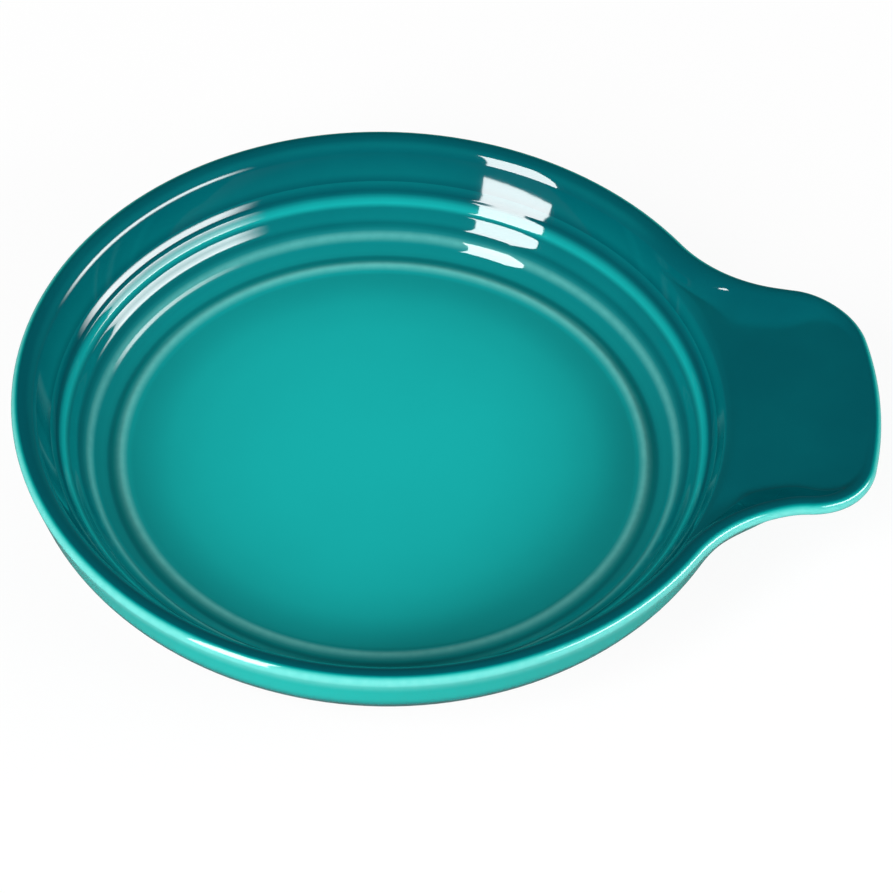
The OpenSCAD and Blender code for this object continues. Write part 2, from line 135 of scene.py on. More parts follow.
class SpoonRestTab(bpy.types.PropertyGroup):
    """Sizes of the handle tab."""
    reach: size("Reach", "Reach of the tab's end from the middle of the dish", CAD_BOX[1].x)
    width: size("Width", "Width of the tab across its corners", 50.6 * MM)
    corner_radius: size("Corner radius", "Radius of the tab's corners in plan", 13.2 * MM)
    end_radius: size("End radius", "Radius of the tab's end in plan", 72 * MM)
    sweep_radius: size("Sweep radius", "Radius of the sweep from the rim into the tab", 25.5 * MM)
    drop: size("Drop", "Drop of the tab's end edge below the rim", 1.8 * MM)
    pitch: turn("Pitch", "Pitch of the tab's floor towards the dish", 2.8)
    lip_slope: turn("Lip slope", "Slope of the side lips from level", 26)
    under_slope: turn("Under slope", "Slope of the underside below the side lips", 35)
    thickness: size("Thickness", "Thickness of the tab", 3.7 * MM)
    shoulder: size("Shoulder", "Roundness where the wall rolls over onto the tab", 2.5 * MM)
    crease: size("Crease", "Roundness along the foot of the side lips", 0.4 * MM)
    root: size("Root", "Roundness where the underside meets the outside wall", 6 * MM)


class SpoonRestFoot(bpy.types.PropertyGroup):
    """Sizes of the foot ring and of the glaze round it."""
    height: size("Height", "Height of the foot ring", 1.4 * MM)
    width: size("Width", "Width of the foot ring", 4 * MM)
    inset: size("Inset", "How far the foot ring is set in from the wall's lower edge", 1.8 * MM)
    heel_radius: size("Heel radius", "Radius of the wall's lower edge", 2 * MM)
    bare_gap: size("Bare gap", "Bare clay between the glaze and the foot ring", 0.6 * MM)
    glaze: size("Glaze", "Thickness of the glaze", 0.4 * MM)


class SpoonRestColours(bpy.types.PropertyGroup):
    """Colours of the glaze and the clay."""
    pale: colour("Pale", "Glaze in the middle of the floor", 22, 174, 171)
    deep: colour("Deep", "Glaze on the wall, the rim and the tab", 0, 80, 88)
    outer: colour("Outside", "Glaze on the outside", 0, 168, 160)
    # Pale glaze where it breaks thin over an edge; the same colour is painted sheen on the ring crests and
    # painted reflection along the rim's outer edge
    thin: colour("Thin", "Glaze where it breaks over an edge", 120, 205, 198)
    # Dark glaze where it gathers in a groove; the same colour is painted shade on the lower outside
    pooled: colour("Pooled", "Glaze where it gathers in a groove", 0, 62, 72)
    clay: colour("Clay", "Bare stoneware", 217, 203, 182)
    table: colour("Table", "The floor that it stands on", 244, 244, 244)


def ease(t):
    u = np.clip(t, 0, 1)
    return u * u * (3 - 2 * u)


def soft_min(a, b, k):
    return np.minimum(a, b) - np.maximum(k - np.abs(a - b), 0) ** 2 / (4 * np.maximum(k, 1e-9))


def soft_max(a, b, k):
    return -soft_min(-a, -b, k)


def bump(x, centre, reach):
    """1 at a place and 0 beyond its reach, smooth between."""
    return ease(1 - np.abs(x - centre) / reach)


def rise(x, span):
    """0 before a span and 1 past it, smooth between."""
    return ease((x - span[0]) / (span[1] - span[0]))


def bands(x, *parts):
    """Soft bands together, each given by its place, strength and reach."""
    return np.minimum(sum(strength * bump(x, place, reach) for place, strength, reach in parts), 1)


def rounded_corner(a, b, c, r, step=radians(5)):
    """Arc that rounds the corner b between a and c."""
    a, b, c = (np.array(p, float) for p in (a, b, c))
    u = (a - b) / np.linalg.norm(a - b)
    v = (c - b) / np.linalg.norm(c - b)
    half = acos(u @ v) / 2
    middle = (u + v) / np.linalg.norm(u + v)
    centre = b + middle * r / sin(half)
    start = b + u * r / tan(half) - centre
    first = atan2(start[1], start[0])
    side = np.sign((b - a)[0] * (c - b)[1] - (b - a)[1] * (c - b)[0])
    whole = side * (pi - 2 * half)
    t = first + np.linspace(0, whole, max(2, ceil(abs(whole) / step)) + 1)
    return centre + r * np.stack([np.cos(t), np.sin(t)], 1)


def bowed(a, b, f, rise):
    """Points on a shallow bow between two points, off their line to the left of its run."""
    a, b, f = np.array(a), np.array(b), np.asarray(f)[:, None]
    run = (b - a) / np.linalg.norm(b - a)
    return a + (b - a) * f + 4 * f * (1 - f) * rise * np.array([-run[1], run[0]])


def run_along(line):
    """How far along a line each of its points lies, as a share of its length."""
    s = np.concatenate([[0], np.cumsum(np.linalg.norm(np.diff(line, axis=0), axis=1))])
    return s / s[-1]


class Shape:
    """The dish's section and the tab's outline, worked out from the sizes."""

    floor_step = 0.8 * MM
    wall_points = 20
    lead_points = 24
    crest_angles = (58, 51, 44, 37, 30, 24, 18, 13, 9, 5.5, 3, 1.5, 0.6, 0)
    bead_angles = (0, 0.6, 1.5, 3, 5.5, 9, 13, 18, 24, 30, 37, 44, 51, 58, 66, 74, 82, 90, 99, 108)
    under_points = 34
    # Places down the outside of the dish, and how far in under the tab the same rings lie
    flare_marks = (0.35, 0.7)
    under_marks = (0, 0.08, 0.22, 0.4, 0.62, 0.82, 1)
    under_ease = 0.05
    edge_steps = (240, 240, 240, 240)
    outline_steps = (64, 44, 32, 16)
    blend_in = 6 * MM
    drop_from = 4.4 * MM
    shoulder_fade = radians(12)

    def __init__(self, scene):
        d, g, t, f = scene.rest_dish, scene.rest_rings, scene.rest_tab, scene.rest_foot
        self.d, self.g, self.t, self.f = d, g, t, f
        self.crest_line = d.radius - d.rim_out
        lean = np.array([-sin(d.wall_slope), cos(d.wall_slope)])
        self.wall_top = np.array([self.crest_line, d.height - d.rim_in]) + d.rim_in * lean
        self.hollow = self.wall_top + d.wall_hollow * lean
        rises = (g.inner_rise, -g.groove_depth, g.inner_band_rise, g.middle_rise,
                 g.outer_band_rise, g.outer_rise, g.ledge_rise, g.step_rise, g.shelf_rise, g.flank_rise)
        widths = (g.groove_width, g.inner_band, g.middle_face, g.outer_band, g.outer_face,
                  g.ledge, g.step, g.shelf, g.flank)
        heights = d.floor_height + np.cumsum(rises)
        self.wall_foot_slope = acos((self.hollow[1] - heights[-1]) / d.wall_hollow)
        self.wall_corner = self.hollow_at(self.wall_foot_slope)
        out = self.wall_corner[0] - np.concatenate([np.cumsum(widths[::-1])[::-1], [0]])
        self.inner_crest, self.groove, self.middle_foot, self.middle_crest = zip(out[:4], heights[:4])
        self.outer_foot, self.outer_crest, self.ledge, self.step, self.shelf = zip(out[4:9], heights[4:9])
        up = self.wall_corner + d.rim_in * np.array([cos(self.wall_foot_slope), sin(self.wall_foot_slope)])
        self.foot_bend = rounded_corner(self.shelf, self.wall_corner, up, g.foot_radius)
        self.wall_foot = self.foot_bend[-1]
        self.bead_end = pi - d.side_slope
        rim_c = np.array([self.crest_line, d.height - d.rim_out])
        self.side_top = rim_c + d.rim_out * np.array([sin(self.bead_end), cos(self.bead_end)])
        side_fall = self.side_top[1] - d.waist_height
        self.waist = (self.side_top[0] - side_fall / tan(d.side_slope), d.waist_height)
        self.heel = (self.waist[0] - (d.waist_height - f.height) / tan(d.flare_slope), f.height)
        self.foot_outer = self.heel[0] - f.inset
        self.foot_inner = self.foot_outer - f.width
        self.set_out_tab()

    def hollow_at(self, slope):
        """Point of the wall's hollow at which it has a given slope."""
        return self.hollow + self.d.wall_hollow * np.array([sin(slope), -cos(slope)])

    def hollow_z(self, out):
        """Height of the wall at a radius. Above the wall it runs on straight."""
        arc = self.hollow[1] - np.sqrt(np.maximum(self.d.wall_hollow ** 2 - (out - self.hollow[0]) ** 2, 0))
        straight = self.wall_top[1] + (out - self.wall_top[0]) * tan(self.d.wall_slope)
        return np.where(out > self.wall_top[0], straight, arc)

    def set_out_tab(self):
        """Centres of the arcs in the tab's outline, and the angles at which they meet."""
        d, t = self.d, self.t
        corner_y = t.width / 2 - t.corner_radius
        self.end_c = np.array([t.reach - t.end_radius, 0])
        self.corner_c = self.end_c + (sqrt((t.end_radius - t.corner_radius) ** 2 - corner_y ** 2), corner_y)
        far = d.radius + t.sweep_radius
        near = t.sweep_radius + t.corner_radius
        dist = np.linalg.norm(self.corner_c)
        along = (far ** 2 - near ** 2 + dist ** 2) / (2 * dist)
        u = self.corner_c / dist
        self.sweep_c = along * u + sqrt(far ** 2 - along ** 2) * np.array([-u[1], u[0]])
        self.sweep_start = atan2(self.sweep_c[1], self.sweep_c[0])
        self.sweep_stop = atan2(*(self.sweep_c - self.corner_c)[::-1])
        self.corner_stop = atan2(*(self.corner_c - self.end_c)[::-1])
        self.edge = self.half_outline(*self.edge_steps)

    def half_outline(self, rim_steps, sweep_steps, corner_steps, end_steps):
        """Points and outward normals from the back of the rim round to the tab's tip."""
        d, t = self.d, self.t
        arcs = (
            ((0, 0), d.radius, pi, self.sweep_start, rim_steps, 1),
            (self.sweep_c, t.sweep_radius, self.sweep_start + pi, self.sweep_stop + pi, sweep_steps, -1),
            (self.corner_c, t.corner_radius, self.sweep_stop, self.corner_stop, corner_steps, 1),
            (self.end_c, t.end_radius, self.corner_stop, 0, end_steps, 1),
        )
        points, normals = [], []
        for centre, radius, start, stop, steps, side in arcs:
            a = np.linspace(start, stop, steps + 1)[0 if not points else 1:]
            n = np.stack([np.cos(a), np.sin(a)], 1)
            points.append(np.array(centre) + radius * n)
            normals.append(side * n)
        return np.concatenate(points), np.concatenate(normals)

    def outline(self):
        """The whole outline, round once, with no point twice."""
        p, n = self.half_outline(*self.outline_steps)
        flip = np.array([1, -1])
        return np.concatenate([p, p[-2:0:-1] * flip]), np.concatenate([n, n[-2:0:-1] * flip])

    def tab_share(self, p):
        return ease((np.hypot(p[..., 0], p[..., 1]) - self.d.radius) / self.blend_in)

    def crest_z(self, x):
        start = self.d.radius + self.drop_from
        return self.d.height - self.t.drop * ease((x - start) / (self.t.reach - start))

    def tab_floor(self, x):
        return self.d.height - self.t.drop - (self.t.reach - self.d.rim_out - x) * tan(self.t.pitch)

    def nearest_edge(self, p):
        """Distance to the outline, with the tab share and the x there."""
        flat = np.stack([p[..., 0], np.abs(p[..., 1])], -1).reshape(-1, 2)
        a, b = self.edge[0][:-1], self.edge[0][1:]
        run = b - a
        out = np.empty((len(flat), 2))
        dist = np.empty(len(flat))
        for at in range(0, len(flat), 2000):
            q = flat[at:at + 2000, None, :]
            along = np.clip(((q - a) * run).sum(-1) / (run ** 2).sum(-1), 0, 1)
            foot = a + along[..., None] * run
            gap = np.linalg.norm(q - foot, axis=-1)
            best = gap.argmin(1)
            rows = np.arange(len(best))
            dist[at:at + 2000] = gap[rows, best]
            out[at:at + 2000] = foot[rows, best]
        shape = p.shape[:-1]
        return dist.reshape(shape), self.tab_share(out).reshape(shape), out[:, 0].reshape(shape)

    def upper_z(self, p):
        """Height of the wall, rolling over the shoulder onto the tab's floor and side lips."""
        d, t = self.d, self.t
        gap, on_tab, edge_x = self.nearest_edge(p)
        gap = gap - d.rim_out
        slope = d.wall_slope * (1 - on_tab) + t.lip_slope * on_tab
        crest = self.crest_z(edge_x)
        arc = d.rim_in * np.sin(slope)
        lip = crest - d.rim_in + np.sqrt(np.maximum(d.rim_in ** 2 - np.minimum(gap, arc) ** 2, 0))
        lip = lip - np.maximum(gap - arc, 0) * np.tan(slope)
        level = self.tab_floor(p[..., 0])
        tab = soft_max(lip, level, t.crease * np.clip((crest - level) / MM, 0, 1))
        out = np.hypot(p[..., 0], p[..., 1])
        wall = self.hollow_z(out)
        angle = np.abs(np.arctan2(p[..., 1], p[..., 0]))
        fade = ease((self.sweep_start - angle) / self.shoulder_fade)
        above = ease((out - self.wall_foot[0]) / (self.wall_top[0] - self.wall_foot[0]))
        rolled = soft_min(wall, tab, t.shoulder * fade * above)
        return np.where(on_tab > 0, rolled, np.where(gap < arc, lip, wall))

    def lower_z(self, p):
        """Height of the outside wall, turning out along the tab's underside."""
        d, t = self.d, self.t
        gap, _, edge_x = self.nearest_edge(p)
        low = self.crest_z(edge_x) - d.rim_out * (1 + cos(t.under_slope))
        lip = low - (gap - d.rim_out * (1 - sin(t.under_slope))) * tan(t.under_slope)
        level = self.tab_floor(p[..., 0]) - t.thickness
        wall = self.waist[1] + (np.hypot(p[..., 0], p[..., 1]) - self.waist[0]) * tan(d.flare_slope)
        return soft_min(wall, soft_max(lip, level, t.crease), t.root)

    def floor_line(self):
        """Floor and rings, from the axis out to the foot of the wall."""
        d, g = self.d, self.g
        corners = [
            (0, d.floor_height, 0), (self.inner_crest[0] - g.ramp, d.floor_height, g.ramp_radius),
            (*self.inner_crest, g.crest_radius), (*self.groove, g.groove_radius),
            (*self.middle_foot, g.bend_radius), (*self.middle_crest, g.bend_radius),
            (*self.outer_foot, g.bend_radius), (*self.outer_crest, g.ledge_radius),
            (*self.ledge, g.ledge_radius), (*self.step, g.ledge_radius),
            (*self.shelf, g.ledge_radius), (*self.wall_corner, 0),
        ]
        threes = zip(corners, corners[1:], corners[2:])
        arcs = [rounded_corner(a[:2], b[:2], c[:2], b[2]) for a, b, c in threes]
        line = [np.array([corners[0][:2]])]
        for arc in [*arcs, self.foot_bend]:
            last = line[-1][-1]
            count = max(1, ceil(np.linalg.norm(arc[0] - last) / self.floor_step))
            line.append(last + (arc[0] - last) * np.linspace(0, 1, count + 1)[1:-1, None])
            line.append(arc)
        return np.concatenate(line)

    def inside(self):
        """Rings of points from the wall's foot up the wall, over the tab and to the crest of the rim."""
        edge, normal = self.outline()
        crest = edge - self.d.rim_out * normal
        way = crest / np.linalg.norm(crest, axis=1)[:, None]
        rows = [way * (self.wall_foot[0] + (self.wall_top[0] - self.wall_foot[0]) * f)
                for f in np.linspace(0, 1, self.wall_points)]
        start = way * self.wall_top[0]
        length = np.linalg.norm(crest - start, axis=1)[:, None]
        stops = [self.d.rim_in * sin(radians(a)) for a in self.crest_angles]
        toward = (crest - start) / length
        for k in range(1, self.lead_points + 1):
            rows.append(start + toward * (length - stops[0]) * (k / self.lead_points))
        for stop in stops[1:]:
            rows.append(crest - toward * stop)
        plan = np.stack(rows)
        return np.concatenate([plan, self.upper_z(plan)[..., None]], -1)

    def outside(self):
        """Rings of points from the crest of the rim round its bead, down the outside and in to the shelf."""
        d, t, f, r = self.d, self.t, self.f, self.d.rim_out
        edge, normal = self.outline()
        crest = edge - r * normal
        way = crest / np.linalg.norm(crest, axis=1)[:, None]
        on_tab = self.tab_share(edge)[:, None]
        bead = self.crest_z(edge[:, 0])[:, None] - r
        whole = self.bead_end * (1 - on_tab) + (pi - t.under_slope) * on_tab
        rings = []
        for a in self.bead_angles:
            k = whole * (a / self.bead_angles[-1])
            rings.append(np.concatenate([crest + r * np.sin(k) * normal, bead + r * np.cos(k)], 1))
        waist = rounded_corner(self.side_top, self.waist, self.heel, d.waist_radius)
        heel = rounded_corner(self.waist, self.heel, (self.foot_outer, f.height), f.heel_radius)
        dish = np.concatenate([
            self.side_top + (waist[0] - self.side_top) * np.linspace(0, 1, 7)[1:-1, None],
            waist,
            bowed(waist[-1], heel[0], np.linspace(0, 1, 14)[1:-1], d.flare_bow),
        ])
        dish = np.concatenate([[self.side_top], dish, [heel[0]]])
        flare = bowed(waist[-1], heel[0], self.flare_marks, d.flare_bow)
        marks = np.stack([self.side_top, waist[0], waist[len(waist) // 2], waist[-1], *flare, heel[0]])
        marks_at = run_along(marks)
        bead_ring = rings[-1]

        def under_ring(s):
            """Ring at a share of the way from the bead to the heel, on the dish and under the tab."""
            reach = min(self.under_ease, 1 - s)
            inward = np.interp(s + np.linspace(-reach, reach, 9), marks_at, self.under_marks).mean()
            tab = bead_ring[:, :2] + (way * heel[0][0] - bead_ring[:, :2]) * inward
            tab = np.concatenate([tab, self.lower_z(tab)[:, None]], 1)
            out, z = (np.interp(s, run_along(dish), dish[:, axis]) for axis in (0, 1))
            turned = np.concatenate([way * out, np.full((len(way), 1), z)], 1)
            return turned * (1 - on_tab) + tab * on_tab

        waist_at = marks_at[1]
        waist_ring = under_ring(waist_at)
        for s in np.arange(1, self.under_points) / self.under_points:
            side = bead_ring + (waist_ring - bead_ring) * (s / waist_at)
            rings.append(side if s < waist_at else under_ring(s))
        end = (self.foot_outer + f.bare_gap, f.height)
        for q in [*heel, *bowed(heel[-1], end, [0.5, 1], 0)]:
            rings.append(np.concatenate([way * q[0], np.full((len(way), 1), q[1])], 1))
        return np.stack(rings)


def start_piece(name):
    """The primitive just added becomes the piece, and opens for editing."""
    piece = bpy.context.object
    piece.name = piece.data.name = name
    bpy.ops.object.mode_set(mode="EDIT")
    return piece


def extrude_rings(name, rings):
    """A ring of points, extruded ring by ring along the section."""
    count = rings.shape[1]
    bpy.ops.object.select_all(action="DESELECT")
    bpy.ops.mesh.primitive_circle_add(vertices=count, radius=1, fill_type="NOTHING")
    piece = start_piece(name)
    bm = bmesh.from_edit_mesh(piece.data)
    bm.verts.ensure_lookup_table()
    ring = list(bm.verts)
    order = [[v.index for v in ring]]
    for v, place in zip(ring, rings[0]):
        v.co = place
    for places in rings[1:]:
        bpy.ops.mesh.extrude_region()
        bm = bmesh.from_edit_mesh(piece.data)
        bm.verts.ensure_lookup_table()
        bm.verts.index_update()
        ring = [next(e.other_vert(bm.verts[i]) for e in bm.verts[i].link_edges
                     if e.other_vert(bm.verts[i]).select and not e.select) for i in order[-1]]
        order.append([v.index for v in ring])
        for v, place in zip(ring, places):
            v.co = place
    bmesh.update_edit_mesh(piece.data)
    return piece, np.array(order)


def spin_line(name, line, steps):
    """A section drawn point by point and spun round the axis."""
    bpy.ops.object.select_all(action="DESELECT")
    bpy.ops.mesh.primitive_plane_add(size=MM)
    piece = start_piece(name)
    bpy.ops.mesh.merge(type="CENTER")
    last = line[0]
    bpy.ops.transform.translate(value=(last[0], 0, last[1]))
    for point in line[1:]:
        step = (point[0] - last[0], 0, point[1] - last[1])
        bpy.ops.mesh.extrude_region_move(TRANSFORM_OT_translate={"value": step})
        last = point
    bpy.ops.mesh.select_all(action="SELECT")
    bpy.ops.mesh.spin(steps=steps, angle=2 * pi, center=(0, 0, 0), axis=(0, 0, 1))
    return piece


def face_out(piece, up):
    """Merges doubles and turns the faces all one way, so that on the whole they look up, or down."""
    bpy.ops.mesh.select_all(action="SELECT")
    bpy.ops.mesh.remove_doubles(threshold=1e-7)
    bpy.ops.mesh.normals_make_consistent(inside=False)
    bm = bmesh.from_edit_mesh(piece.data)
    bm.faces.ensure_lookup_table()
    total = sum(f.normal.z * f.calc_area() for f in bm.faces)
    if (total > 0) != up:
        bpy.ops.mesh.flip_normals()


def thicken(piece, thickness):
    """Gives a coat its thickness, inwards from its surface."""
    bpy.ops.object.mode_set(mode="OBJECT")
    solid = piece.modifiers.new("Thickness", "SOLIDIFY")
    solid.thickness = thickness
    solid.offset = -1
    solid.use_even_offset = True
    bpy.ops.object.modifier_apply(modifier=solid.name)
    bpy.ops.object.shade_smooth_by_angle(angle=radians(40))


def paint(piece, **layers):
    """Keeps one value a point for each named layer of the glaze."""
    for name, values in layers.items():
        layer = piece.data.attributes.new(name, "FLOAT", "POINT")
        layer.data.foreach_set("value", np.asarray(values, np.float32))


def places(piece):
    co = np.empty(len(piece.data.vertices) * 3)
    piece.data.vertices.foreach_get("co", co)
    return co.reshape(-1, 3)


class Nodes:
    """Short words for adding and linking the nodes of a material or a world."""

    def __init__(self, owner):
        self.owner = owner
        owner.use_nodes = True
        self.tree = owner.node_tree
        self.shader = self.tree.nodes.get("Principled BSDF")

    def add(self, kind, **settings):
        node = self.tree.nodes.new("ShaderNode" + kind)
        for key, value in settings.items():
            setattr(node, key, value)
        return node

    def link(self, a, b):
        self.tree.links.new(a, b)

    def math(self, operation, a, b):
        node = self.add("Math", operation=operation)
        for socket, value in zip(node.inputs, (a, b)):
            if isinstance(value, (int, float)):
                socket.default_value = value
            else:
                self.link(value, socket)
        return node.outputs[0]

    def span(self, value, low, high, to_low, to_high):
        node = self.add("MapRange", clamp=True)
        self.link(value, node.inputs["Value"])
        for name, number in zip(("From Min", "From Max", "To Min", "To Max"), (low, high, to_low, to_high)):
            node.inputs[name].default_value = number
        return node.outputs["Result"]

    def mix(self, fac, a, b):
        node = self.add("Mix", data_type="RGBA")
        self.link(fac, node.inputs["Factor"])
        for socket, value in zip((s for s in node.inputs if s.type == "RGBA"), (a, b)):
            if isinstance(value, bpy.types.NodeSocket):
                self.link(value, socket)
            else:
                socket.default_value = (*value, 1)
        return next(s for s in node.outputs if s.type == "RGBA")

    def noise(self, scale, detail=3.0, rough=0.5):
        where = self.add("TexCoord")
        node = self.add("TexNoise")
        node.inputs["Scale"].default_value = scale
        node.inputs["Detail"].default_value = detail
        node.inputs["Roughness"].default_value = rough
        self.link(where.outputs["Object"], node.inputs["Vector"])
        return node.outputs["Fac"]

    def sight(self):
        """What a ray is: seen straight by the camera, and mirrored or seen through glass."""
        path = self.add("LightPath")
        mirrored = self.math("MAXIMUM", path.outputs["Is Glossy Ray"], path.outputs["Is Transmission Ray"])
        return path.outputs["Is Camera Ray"], mirrored

    def layer(self, name):
        return self.add("Attribute", attribute_name=name).outputs["Fac"]

    def bump(self, height, distance, strength):
        node = self.add("Bump")
        node.inputs["Strength"].default_value = strength
        node.inputs["Distance"].default_value = distance
        self.link(height, node.inputs["Height"])
        self.link(node.outputs["Normal"], self.shader.inputs["Normal"])


def glaze_finish(name, colours, light, dark):
    """Glossy glaze that shades from one colour to another, breaks pale over edges and pools dark in grooves;
    the same pale and dark colours also carry painted sheen, painted reflection and painted shade.

    Where it is mirrored in another part of the dish only its colour shows, so that no glint shows twice.
    """
    n = Nodes(bpy.data.materials.new(name))
    cloud = n.noise(38, 4, 0.55)
    grain = n.noise(620, 2, 0.5)
    deep = n.math("ADD", n.layer("deep"), n.span(cloud, 0, 1, -0.07, 0.07))
    body = n.mix(deep, light, dark)
    pool = n.math("MULTIPLY", n.layer("pool"), n.span(cloud, 0.25, 0.75, 0.8, 1))
    body = n.mix(pool, body, colours.pooled)
    thin = n.math("MULTIPLY", n.layer("thin"), n.span(grain, 0.3, 0.7, 0.82, 1))
    body = n.mix(thin, body, colours.thin)
    n.link(body, n.shader.inputs["Base Color"])
    n.link(n.span(cloud, 0.3, 0.7, 0.02, 0.05), n.shader.inputs["Roughness"])
    n.shader.inputs["IOR"].default_value = 1.6
    n.link(n.span(n.sight()[1], 0, 1, 0.5, 0), n.shader.inputs["Specular IOR Level"])
    n.bump(n.noise(260, 2, 0.4), 0.02 * MM, 0.25)
    return n.owner


def clay_finish(colours):
    """Bare, ground stoneware, matt, with fine grog."""
    n = Nodes(bpy.data.materials.new("Bare stoneware"))
    grog = n.noise(2400, 3, 0.6)
    cloud = n.noise(120, 3, 0.5)
    dusk = tuple(c * 0.72 for c in colours.clay)
    speck = n.span(grog, 0.56, 0.7, 0, 0.75)
    base = n.mix(n.span(cloud, 0.3, 0.7, 0, 0.4), colours.clay, dusk)
    base = n.mix(speck, base, tuple(c * 0.5 for c in colours.clay))
    n.link(base, n.shader.inputs["Base Color"])
    n.link(n.span(grog, 0.3, 0.7, 0.75, 0.95), n.shader.inputs["Roughness"])
    n.bump(grog, 0.08 * MM, 0.5)
    return n.owner


def finish_piece(piece, node, material):
    piece.data.materials.clear()
    piece.data.materials.append(material)
    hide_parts(node)
    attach(piece, "root")


class SPOONREST_OT_stoneware_body(bpy.types.Operator):
    """Gives the pressed clay body its bare stoneware finish."""
    bl_idname = "spoonrest.stoneware_body"
    bl_label = "Stoneware Body"

    def execute(self, context):
        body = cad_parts["stoneware_body"]
        body.data.materials.clear()
        body.data.materials.append(clay_finish(context.scene.rest_colours))
        return {"FINISHED"}


class SPOONREST_OT_floor_glaze(bpy.types.Operator):
    """Spins the coat over the floor and the three rings."""
    bl_idname = "spoonrest.floor_glaze"
    bl_label = "Floor Glaze"

    spin_steps = 224
    # Share of the deep colour at radii in millimetres
    shade_radii = (0, 20, 30, 36, 40, 43, 47, 52, 56)
    shades = (0, 0.02, 0.07, 0.17, 0.34, 0.43, 0.6, 0.78, 0.9)
    pool_reach = 0.9 * MM

    def execute(self, context):
        shape = Shape(context.scene)
        c = context.scene.rest_colours
        piece = spin_line("floor_coat", shape.floor_line(), self.spin_steps)
        face_out(piece, up=True)
        thicken(piece, shape.f.glaze)
        r = np.hypot(*places(piece)[:, :2].T)
        step_middle = (shape.ledge[0] + shape.step[0]) / 2
        deep = np.interp(r / MM, self.shade_radii, self.shades)
        # Lighter on the small step: partly a lighter band in the glaze, partly painted light where the step's
        # riser faces the lamps
        deep = deep - bands(r, (step_middle - 0.32 * MM, 0.52, MM))
        # Pale over the inner and middle crests: glaze breaking thin there, and painted sheen where the crests
        # catch the light
        thin = bands(r, (shape.inner_crest[0], 0.56, 1.3 * MM), (shape.middle_crest[0], 0.37, 0.95 * MM))
        pool = bands(
            r,
            (shape.groove[0], 0.45, self.pool_reach),
            (shape.outer_foot[0] - 0.55 * MM, 0.5, self.pool_reach),
            (shape.shelf[0], 0.7, self.pool_reach))
        paint(piece, deep=deep, thin=thin, pool=pool)
        finish_piece(piece, "floor_glaze", glaze_finish("Floor glaze", c, c.pale, c.deep))
        return {"FINISHED"}


class SPOONREST_OT_wall_glaze(bpy.types.Operator):
    """Draws the deep coat up the wall, over the tab and to the crest of the rim."""
    bl_idname = "spoonrest.wall_glaze"
    bl_label = "Wall Glaze"

    def execute(self, context):
        shape = Shape(context.scene)
        c = context.scene.rest_colours
        piece, _ = extrude_rings("wall_coat", shape.inside())
        face_out(piece, up=True)
        thicken(piece, shape.f.glaze)
        co = places(piece)
        r = np.hypot(co[:, 0], co[:, 1])
        angle = np.abs(np.arctan2(co[:, 1], co[:, 0]))
        off_tab = rise(angle, (shape.sweep_start, shape.sweep_start + shape.shoulder_fade))
        deep = 0.9 + 0.1 * rise(co[:, 2], (shape.wall_foot[1], shape.d.height))
        # A little paler on the rim's inner rounding, away from the tab: painted light where the rounding
        # faces the lamps
        deep = deep - bands(r, (shape.wall_top[0] + MM, 0.08, MM)) * off_tab
        pool = bands(r, (shape.wall_foot[0], 0.6, 0.8 * MM))
        paint(piece, deep=deep, thin=np.zeros(len(co)), pool=pool)
        finish_piece(piece, "wall_glaze", glaze_finish("Wall glaze", c, c.pale, c.deep))
        return {"FINISHED"}


class SPOONREST_OT_outside_glaze(bpy.types.Operator):
    """Draws the turquoise coat from the crest of the rim down the outside and under the tab."""
    bl_idname = "spoonrest.outside_glaze"
    bl_label = "Outside Glaze"

    # First and last ring of each change of colour, counted from the crest of the rim, and the heights between
    # which the painted shade at the bottom fades out
    deep_ends = (5, 11)
    break_and_sheen_starts = (8, 13)
    break_and_sheen_ends = (16, 23)
    pool_heights = (11 * MM, 15 * MM)

    def execute(self, context):
        shape = Shape(context.scene)
        c = context.scene.rest_colours
        piece, order = extrude_rings("outside_coat", shape.outside())
        face_out(piece, up=False)
        bpy.ops.object.mode_set(mode="OBJECT")
        co = places(piece)
        deep = np.zeros(len(co))
        thin = np.zeros(len(co))
        for ring, points in enumerate(order):
            deep[points] = 1 - rise(ring, self.deep_ends)
            # Pale over the bead's outer side and the top of the outside wall: glaze breaking thin there, and
            # painted reflection of the pale surroundings along the rim's outer edge
            thin[points] = 0.7 * rise(ring, self.break_and_sheen_starts) * (1 - rise(ring, self.break_and_sheen_ends))
        # Painted shade: the pooled colour darkens the outside from 15 mm down and fully below 11 mm, in place
        # of the shadow where the outside turns under
        pool = 0.9 * (1 - rise(co[:, 2], self.pool_heights))
        paint(piece, deep=deep, thin=thin, pool=pool)
        thicken(piece, shape.f.glaze)
        finish = glaze_finish("Outside glaze", c, c.outer, c.deep)
        finish_piece(piece, "outside_glaze", finish)
        return {"FINISHED"}


